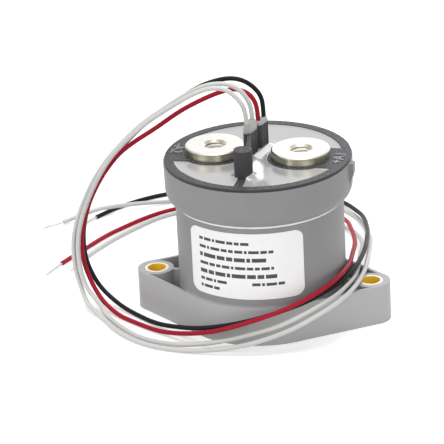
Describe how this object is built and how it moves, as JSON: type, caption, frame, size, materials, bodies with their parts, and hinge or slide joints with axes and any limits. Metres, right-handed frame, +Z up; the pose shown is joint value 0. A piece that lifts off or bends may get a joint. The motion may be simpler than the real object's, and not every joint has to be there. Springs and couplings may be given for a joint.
{
  "type": "high voltage dc contactor",
  "caption": "Sealed high-voltage direct-current contactor: round moulded body on a base with mounting ears, potted header, threaded power terminals and flying leads.",
  "frame": {"origin": "centre of the underside of the base, on the axis of the round body", "axes": "+X runs through the mounting holes towards terminal A1, the label faces -Y, +Z is up out of the terminals"},
  "size_m": [0.1513, 0.1553, 0.0887],
  "materials": {
    "grey_moulding": "fine moulded texture",
    "black_moulding": "fine moulded texture",
    "potting_resin": "cast gloss",
    "plated_copper": "satin plated",
    "bush_brass": "turned",
    "label_film": "satin film",
    "insulation_black": "satin",
    "insulation_red": "satin",
    "insulation_white": "satin",
    "tinned_copper": "tinned strands",
    "soft_iron": "plated",
    "spring_steel": "drawn wire",
    "sleeve_brass": "drawn",
    "bobbin_nylon": "moulded",
    "enamelled_copper": "wound wire",
    "bridge_copper": "stamped",
    "contact_alloy": "brazed tip",
    "chamber_ceramic": "fired",
    "magnet_ferrite": "ground",
    "board_laminate": "solder mask",
    "component_black": "moulded"
  },
  "bodies": {
    "frame": {"housing": "grey_moulding", "bush_left": "bush_brass", "bush_right": "bush_brass", "header": "black_moulding", "potting": "potting_resin", "rating_label": "label_film", "terminal_a1": "plated_copper", "terminal_a2": "plated_copper", "fixed_tip_a1": "contact_alloy", "fixed_tip_a2": "contact_alloy", "yoke_can": "soft_iron", "guide_sleeve": "sleeve_brass", "bobbin": "bobbin_nylon", "coil_winding": "enamelled_copper", "pole_plate": "soft_iron", "pole_piece": "soft_iron", "return_spring": "spring_steel", "arc_chamber": "chamber_ceramic", "magnet_front": "magnet_ferrite", "magnet_rear": "magnet_ferrite", "circuit_board": "board_laminate", "board_capacitor": "component_black", "board_transistor": "component_black", "board_inductor": "component_black", "auxiliary_switch": "component_black", "fill_tube": "bridge_copper", "lead_black": "insulation_black", "lead_red": "insulation_red", "lead_white_1": "insulation_white", "lead_white_2": "insulation_white", "tip_black": "tinned_copper", "tip_red": "tinned_copper", "tip_white_1": "tinned_copper", "tip_white_2": "tinned_copper"},
    "armature": {"plunger": "soft_iron", "shaft": "soft_iron", "spring_seat": "soft_iron", "contact_spring": "spring_steel", "retaining_clip": "spring_steel"},
    "bridge": {"contact_bridge": "bridge_copper", "bridge_tips": "contact_alloy"}
  },
  "joints": [
    {"name": "armature_slide", "type": "slide", "parent": "frame", "child": "armature", "axis": [0, 0, 1], "range_m": [0, 0.002], "stiffness_N_per_m": 1500, "springref_m": -0.004, "deforming": ["return_spring"]},
    {"name": "bridge_slide", "type": "slide", "parent": "armature", "child": "bridge", "axis": [0, 0, 1], "range_m": [-0.0005, 0], "deforming": ["contact_spring"]}
  ],
  "couplings": [
    {"joint": "bridge_slide", "follows": "armature_slide", "ratio": -0.25}
  ]
}
